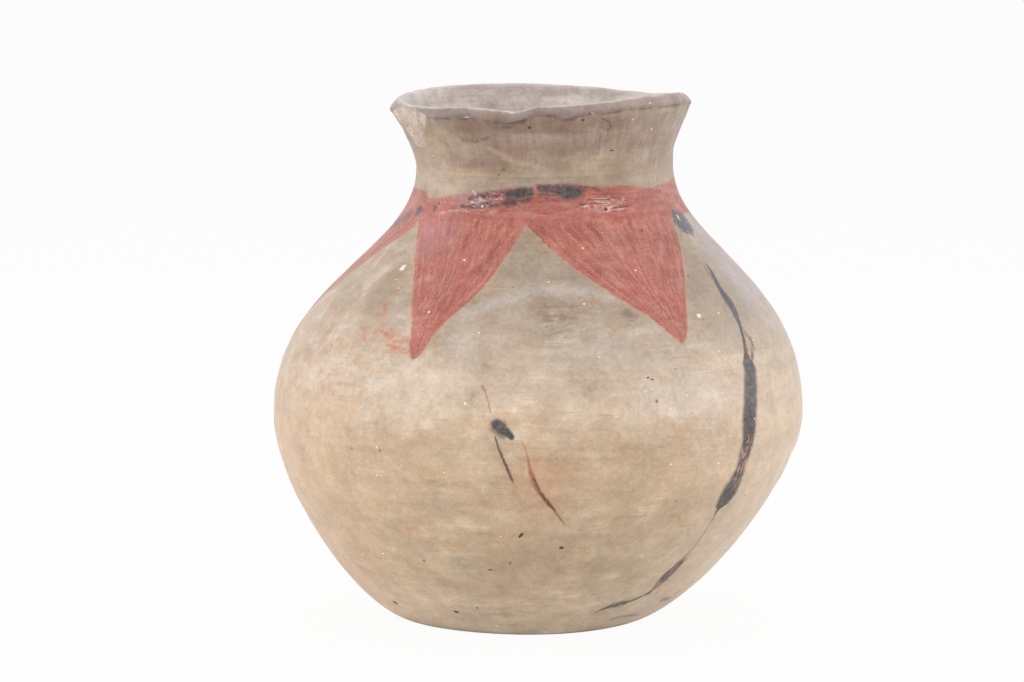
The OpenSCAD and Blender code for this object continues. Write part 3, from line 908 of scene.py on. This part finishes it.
def band_clay():
    """The red band round the root of the neck, and the worn black line over it."""
    p = Clay("painted clay of the band", NECK_SCALE)
    p.ready_to_mark()
    p.slip(FRONT_TRIANGLES, p.angle)
    p.lay(p.times(p.spot(-31, 195.6, 12, 3.4, 1.2, 2.4), p.cover), (188, 148, 152), 0.45)

    # the black line: two whole strokes, and torn strands as edge, tear and strength
    torn = p.noise(p.flat, 1.5, 4, 0.75, stretch=(0.3, 1, 1))
    line = p.most(
        p.stroke([(-14.5, 198.7, 1.6), (-10, 198.9, 2.2), (-4.4, 199.7, 2.2)], 0.5, 1.2),
        p.stroke([(8.6, 199.6, 2.8), (13, 199.4, 3.3), (17, 199.6, 2.4)], 0.7, 1.2))
    for soft, ragged, low, high, strength, points in (
            (0.9, 1.4, 0.42, 0.5, 0.95, [(-36.5, 192.2, 0.7), (-29, 192.8, 1.3),
                                         (-20, 193.8, 1.3), (-9, 195.4, 1.6)]),
            (0.9, 1.4, 0.42, 0.5, 0.95, [(-33, 195.6, 0.9), (-24, 197.6, 1.5), (-13, 198.8, 1.6)]),
            (0.8, 1.4, 0.36, 0.5, 0.8, [(-15, 196, 1.4), (-4.6, 197, 1.6)]),
            (0.6, 1.2, 0.34, 0.48, 0.92, [(-0.2, 201.2, 1.5), (7.5, 200.8, 2.2)]),
            (0.9, 1.6, 0.4, 0.56, 0.8, [(-0.2, 198.2, 1.6), (8, 197.8, 2)]),
            (0.9, 0.6, 0.4, 0.54, 0.8, [(17, 201.4, 1.2), (22, 201.1, 0.7), (26.5, 199.6, 0.5),
                                        (28.6, 197.4, 0.3)])):
        strand = p.stroke(points, soft, ragged)
        line = p.most(line, p.times(strand, p.ramp(torn, low, high), strength))
    blue = blotches(p)
    dot = p.times(p.spot(-51.6, 190.2, 1.4, 1.5, 0.9), 0.7)
    p.pitch(p.most(line, dot, blue), p.times(blue, 0.5))
    p.lay(p.spot(-50.2, 192.4, 0.8, 0.8, scale=1.1), (84, 60, 50), 0.75)

    # pale scuffs, a flaked place at the right, hair lines
    fleck = p.noise(p.flat, 1.4, 4, 0.75, stretch=(0.4, 1, 1), move=(3, 1, 4))
    scuff = p.most(
        p.strokes(1, 1.4, NECK_SCALE, (1, (-34, 194.4, 1), (-27, 195.4, 2.2), (-17, 196.8, 1.4)),
                  (0.5, (-48.8, 187.6, 0.5), (-44.6, 189.2, 0.7), (-37, 190.4, 0.8),
                   (-30, 190.4, 0.8), (-18, 190.8, 0.6))),
        p.strokes(1, 1.6, NECK_SCALE, (0.9, (17, 193.2, 0.9), (25, 193.2, 1.8), (34, 192.4, 1.9)),
                  (0.8, (20, 196, 0.9), (28, 195.8, 1.2), (36, 195.4, 1.4))))
    curl = p.times(p.stroke([(-31.6, 199.2, 0.3), (-30, 197.9, 0.45)], 0.5), 0.95)
    p.lay(p.most(p.times(scuff, p.ramp(fleck, 0.47, 0.6)), curl), (240, 218, 208), 0.56)
    hair = p.strokes(
        0.6, 1.2, NECK_SCALE, (1, (20.4, 196, 0.22), (30, 195.9, 0.3)),
        (1, (17, 194.1, 0.5), (20, 194.2, 0.2), (28.6, 194.3, 0.2)),
        (1, (30.9, 192.1, 0.3), (36, 192.3, 0.4), (40.4, 193, 0.25)),
        (1, (31.3, 198, 0.25), (32.2, 196.4, 0.35), (34.6, 196.6, 0.25)))
    p.lay(hair, (96, 64, 56), 0.75)
    p.hole(27.6, 191.7, 0.8, 0.7, 1.07)
    p.speckle()
    return p.finish()


def back_clay():
    """The back of the jar, which carries on the same band and triangles."""
    p = Clay("painted clay of the back")
    p.ready_to_mark()
    back = p.turn(p.times(p.x, -1), p.y)
    p.slip((TRIANGLE_BACK_RIGHT, TRIANGLE_BACK_LEFT), p.plus(back, p.stray))
    ring_z = p.less(p.tall, p.fma(p.long_streak, 3, 195.5))
    line = p.times(p.ramp(p.size(back), 53, 46), p.ramp(p.size(ring_z), 2.8, 2.2),
                   p.ramp(p.fma(p.cloud, 0.6, p.worn), 0.76, 0.9))
    p.pitch(p.times(line, 0.8))
    p.speckle()
    return p.finish()


def throat(p, haze):
    """Colours of the unburnished inside, brushed level by the wet hand."""
    brushed = p.fma(haze, 0.45, p.fma(p.streak, 0.35, p.times(p.hue, 0.2)))
    return p.colours(brushed, [
        (0.36, 180, 165, 156), (0.46, 207, 193, 185), (0.54, 221, 208, 201),
        (0.64, 236, 225, 219)])


def neck_haze(p):
    return p.noise(p.here, 12, 3, 0.6, stretch=(0.3, 0.3, 1))


def fold_height(p):
    """Height of the lip's folded lower edge, all the way round."""
    return p.chart(p.front, [(a, LIP_Z + rim_rise(a) + seam(a)) for a in range(-180, 181, 5)])


def neck_clay():
    """The neck, mottled brown and grey, darker in patches under the lip, with painted shade along
    the lip's fold.
    """
    p = Clay("burnished clay of the neck", NECK_SCALE)
    haze = neck_haze(p)
    upright = p.noise(p.flat, 2.6, 3, 0.65, stretch=(1.6, 0.22, 1))
    neck = p.ramp(p.z, 203, 212)
    for field, low, high, factors in (
            (haze, 0.48, 0.66, (0.86, 0.8, 0.8)), (haze, 0.48, 0.3, (1.14, 1.16, 1.06)),
            (upright, 0.5, 0.68, (0.9, 0.89, 0.88)), (upright, 0.5, 0.34, (1.1, 1.11, 1.12))):
        p.tint(p.times(neck, p.ramp(field, low, high)), factors)
    p.blot(-12, 205, 44, 3.4, 1.4, 2.4, (190, 170, 134), 0.5, 1)
    # darker patches on the upper neck, one under the small dent at the left
    dark_patches = p.most(
        p.spot(-28, 228.4, 6.5, 4.4, 1.6, 2.6), p.times(p.spot(-19, 210, 9, 5, 1.6, 3, 1), 0.6),
        p.spots(1.8, 3, NECK_SCALE, (0.7, -6, 228.6, 22, 4), (0.4, 12, 221, 10, 6)))
    p.lay(dark_patches, (118, 94, 80), 0.55)
    p.lay(p.times(p.stroke([(-35.2, 223.9, 0.6), (-33.6, 222.3, 1), (-27.6, 221.9, 0.8),
                            (-21.6, 223.8, 0.7)], 1.2, 2.4, 1.04), p.ramp(p.grain, 0.3, 0.6)),
          (112, 76, 62), 0.75)
    p.lay(p.stroke([(-22, 219, 0.8), (-12, 213, 1.4), (-2, 211, 0.8)], 1.4, 3, 1),
          (196, 176, 150), 0.42)
    p.lay(p.most(
        p.spot(-4, 228.8, 0.7, 0.7, 0.5, 2.4), p.spot(31.5, 217.5, 1.3, 0.35, 0.5, 3, 1.03),
        p.spot(16.4, 232.2, 0.8, 0.6, scale=1.1),
        p.times(p.spot(-13, 229, 2.2, 0.6, 1.6, 3), 0.5),
        p.times(p.spot(-16.5, 209.2, 1.2, 0.7, 1.6, 3, 1), 0.5)), (70, 50, 40), 0.8)
    hair = p.most(
        p.times(p.stroke([(24.6, 226, 0.2), (25.2, 216, 0.2)], 0.9, 2.4, 1.04), 0.6),
        p.times(p.stroke([(28.6, 229.5, 0.2), (27.2, 220, 0.2)], 0.9, 2.4, 1.06), 0.6),
        p.strokes(0.7, 2, NECK_SCALE, (0.85, (24, 232.6, 0.3), (27.5, 231, 0.25), (29.2, 228, 0.3)),
                  (0.8, (26, 227.6, 0.3), (28.4, 227.2, 0.25))))
    p.lay(hair, (92, 70, 60), 0.75)
    # dark crevices where the lip was folded over the wall, and painted shade along the fold's
    # underside
    under = p.fma(p.fray, 2.4, p.less(fold_height(p), p.z))
    along = p.noise(p.flat, 9, 3, 0.6, stretch=(1, 0.1, 1))
    crevice_and_fold_shade = p.times(p.ramp(under, 1.5, 0.2), p.ramp(along, 0.36, 0.56))
    p.lay(crevice_and_fold_shade, (84, 64, 54), 0.62)
    # a broken darker band below the fold at the right: painted soft shade under the lip
    broken_up = p.ramp(p.fma(p.streak, 0.5, p.times(along, 0.5)), 0.52, 0.6)
    fold_shade_band = p.times(p.ramp(under, 7, 2), broken_up, p.ramp(p.front, -12, 4))
    p.lay(fold_shade_band, (112, 90, 78), 0.45)
    p.speckle()
    return p.finish(0.26)


def lip_clay():
    """The lip: grey brown, pale along its crest where rubbed and with a painted highlight, painted
    shade along its folded lower edge, a painted glint, and the throat beginning inside.
    """
    p = Clay("rubbed clay of the lip")
    haze = neck_haze(p)
    p.tint(p.ramp(haze, 0.45, 0.7), (0.84, 0.8, 0.84))
    p.tint(p.ramp(haze, 0.45, 0.25), (1.16, 1.15, 1.16))
    p.tint(1, (0.92, 0.9, 0.96))
    reach = p.math("SQRT", p.fma(p.x, p.x, p.times(p.y, p.y)))
    p.speckle()
    # painted shade along the lip's folded lower edge
    above = p.fma(p.fray, -2.4, p.less(p.z, fold_height(p)))
    p.lay(p.ramp(above, 2, 0.3), (112, 90, 80), 0.45)
    edge = p.less(p.fma(p.fray, 1, 63.3), reach)
    p.lay(p.ramp(edge, -1.5, 0.2), throat(p, haze), 0.95)
    # pale crest: partly rubbed clay, partly a painted highlight along the edge
    crest = p.times(p.ramp(p.size(p.plus(edge, 0.9)), 1.3, 0.3),
                    p.ramp(p.fma(p.mottle, 0.5, p.times(p.hue, 0.5)), 0.38, 0.54))
    p.lay(crest, (222, 210, 203), 0.5)
    p.hole(18.9, 234.7, 0.7, 0.8, 1.15)
    p.hole(34.2, 234.5, 0.6, 1.2, 1.15)
    # a painted glint on the small dent at the left of the lip, with lower roughness
    painted_glint = p.spot(-28.6, 232.2, 1.5, 0.9, 0.8, 3, 1.1)
    p.lay(painted_glint, (240, 236, 232), 0.7)
    p.rough = p.fma(painted_glint, -0.25, p.rough)
    return p.finish(0.3, 1.6, 0.5)


def inner_clay():
    """The inside of the jar: the same clay, paler and duller, not burnished."""
    p = Clay("unburnished clay of the inside")
    p.lay(1, throat(p, neck_haze(p)), 0.95)
    p.speckle()
    p.rough = p.plus(p.rough, 0.18)
    return p.finish(0.3, shine=0.5)


def broken_clay():
    """The broken face of the chip: pale, sandy, full of pores."""
    p = Pattern("broken clay")
    patch = p.noise(p.here, 7, 4, 0.6, 0.5)
    grain = p.noise(p.here, 0.9, 4, 0.75)
    skin = p.colours(p.fma(patch, 0.5, p.times(grain, 0.5)), [
        (0.36, 160, 143, 129), (0.48, 194, 178, 164), (0.56, 210, 196, 182),
        (0.66, 226, 214, 201)])
    pores = p.most(p.dots(2.4, 0.6, 0.5), p.dots(5.5, 1, 0.35))
    grit = p.dots(3.4, 0.6, 0.3, (20, 5, 9))
    # pores darkened as painted shade in them
    skin = p.mix(p.times(pores, 0.75), skin, (112, 88, 72))
    skin = p.mix(p.times(grit, 0.7), skin, (240, 231, 220))
    p.feed("Base Color", skin)
    p.feed("Roughness", 0.9)
    p.feed("Specular IOR Level", 0.3)
    p.relief(p.fma(grain, 0.6, p.fma(patch, 0.5, p.fma(grit, 0.4, p.times(pores, -1)))), 0.16)
    return p.mat


def make_jar():
    jar = new_object("jar_skin", *jar_mesh())
    block = new_object("chip_block", *chip_block())
    clays = [make() for make in (body_clay, shoulder_clay, band_clay, back_clay, neck_clay,
                                 lip_clay, inner_clay, broken_clay)]
    for obj in (jar, block):
        for clay in clays:
            obj.data.materials.append(clay)
    cut = jar.modifiers.new("chip", "BOOLEAN")
    cut.operation = "DIFFERENCE"
    cut.solver = "MANIFOLD"
    cut.object = block
    graph = bpy.context.evaluated_depsgraph_get()
    cut_mesh = bpy.data.meshes.new_from_object(jar.evaluated_get(graph))
    jar.modifiers.clear()
    jar.data = cut_mesh
    bpy.data.objects.remove(block)
    cut_mesh.shade_smooth()
    cut_mesh.set_sharp_from_angle(angle=math.radians(48))
    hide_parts("jar")
    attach(jar, "root")
    return jar


def aim(obj, stand, target):
    """Puts obj where it stands, in metres, facing a target."""
    obj.location = stand
    obj.rotation_mode = "QUATERNION"
    obj.rotation_quaternion = (Vector(target) - Vector(stand)).to_track_quat("-Z", "Y")


def lamp(name, stand, wide, high, power):
    """An area lamp that faces the middle of the jar."""
    light = bpy.data.lights.new(name, "AREA")
    light.shape = "RECTANGLE"
    light.size = wide
    light.size_y = high
    light.energy = power
    obj = bpy.data.objects.new(name, light)
    bpy.context.scene.collection.objects.link(obj)
    aim(obj, stand, MIDDLE)


def world():
    """White to the camera and in reflections, softer as light on the jar."""
    studio = bpy.data.worlds.new("studio")
    bpy.context.scene.world = studio
    studio.use_nodes = True
    n = Nodes(studio.node_tree)
    ray = n.add("LightPath").outputs
    seen = n.most(ray["Is Camera Ray"], ray["Is Glossy Ray"], ray["Is Transmission Ray"])
    back = n.tree.nodes["Background"]
    n.link(n.fma(seen, 1 - WORLD_LIGHT, WORLD_LIGHT), back.inputs["Strength"])
    n.link((1.0, 1.0, 1.0, 1.0), back.inputs["Color"])


def floor():
    """A wide pale floor, white to the camera but for the jar's soft shadow."""
    s = FLOOR_SIZE / 2
    corners = np.array([(-s, -s, 0), (s, -s, 0), (s, s, 0), (-s, s, 0)])
    obj = new_object("floor", corners, [(0, 1, 2, 3)])
    mat = bpy.data.materials.new("pale floor")
    mat.use_nodes = True
    n = Nodes(mat.node_tree)
    n.tree.nodes.remove(n.tree.nodes["Principled BSDF"])
    seen = n.add("LightPath").outputs["Is Camera Ray"]
    matt = n.add("BsdfDiffuse", FLOOR_COLOUR).outputs[0]
    both = n.add("MixShader", n.times(seen, FLOOR_GLOW), matt, n.add("Emission").outputs[0])
    n.link(both.outputs[0], n.tree.nodes["Material Output"].inputs["Surface"])
    obj.data.materials.append(mat)


# Camera: 3 m away, 7 degrees up, with a long lens; the aim sets the jar a little right of middle
CAMERA_FAR = 3.0
CAMERA_UP = 7.0
CAMERA_LENS = 232.45
AIM_HEIGHT = 0.120
AIM_LEFT = 0.0127
AIM_RAISE = 0.0060


def camera():
    cam = bpy.data.objects.new("camera", bpy.data.cameras.new("camera"))
    bpy.context.scene.collection.objects.link(cam)
    cam.data.lens = CAMERA_LENS
    cam.data.sensor_width = 36.0
    cam.data.clip_end = 100.0
    up = math.radians(CAMERA_UP)
    stand = (0.0, -CAMERA_FAR * math.cos(up), AIM_HEIGHT + CAMERA_FAR * math.sin(up))
    aim(cam, stand, (-AIM_LEFT, 0.0, AIM_HEIGHT + AIM_RAISE))
    bpy.context.scene.camera = cam


WORLD_LIGHT = 0.55
FLOOR_SIZE = 24.0
FLOOR_COLOUR = (0.93, 0.93, 0.93, 1.0)
FLOOR_GLOW = 0.94
MIDDLE = (0.0, 0.0, 0.12)

bpy.context.scene.view_settings.view_transform = "Standard"
camera()
world()
floor()
make_jar()
lamp("front soft box", (-0.3, -1.9, 0.55), 1.4, 1.1, 13.0)
lamp("left soft box", (-1.5, 0.3, 0.45), 0.8, 1.4, 8.5)
lamp("right soft box", (1.5, 0.3, 0.45), 0.8, 1.4, 8.5)
lamp("top soft box", (0.0, 0.3, 1.7), 1.2, 1.2, 5.0)
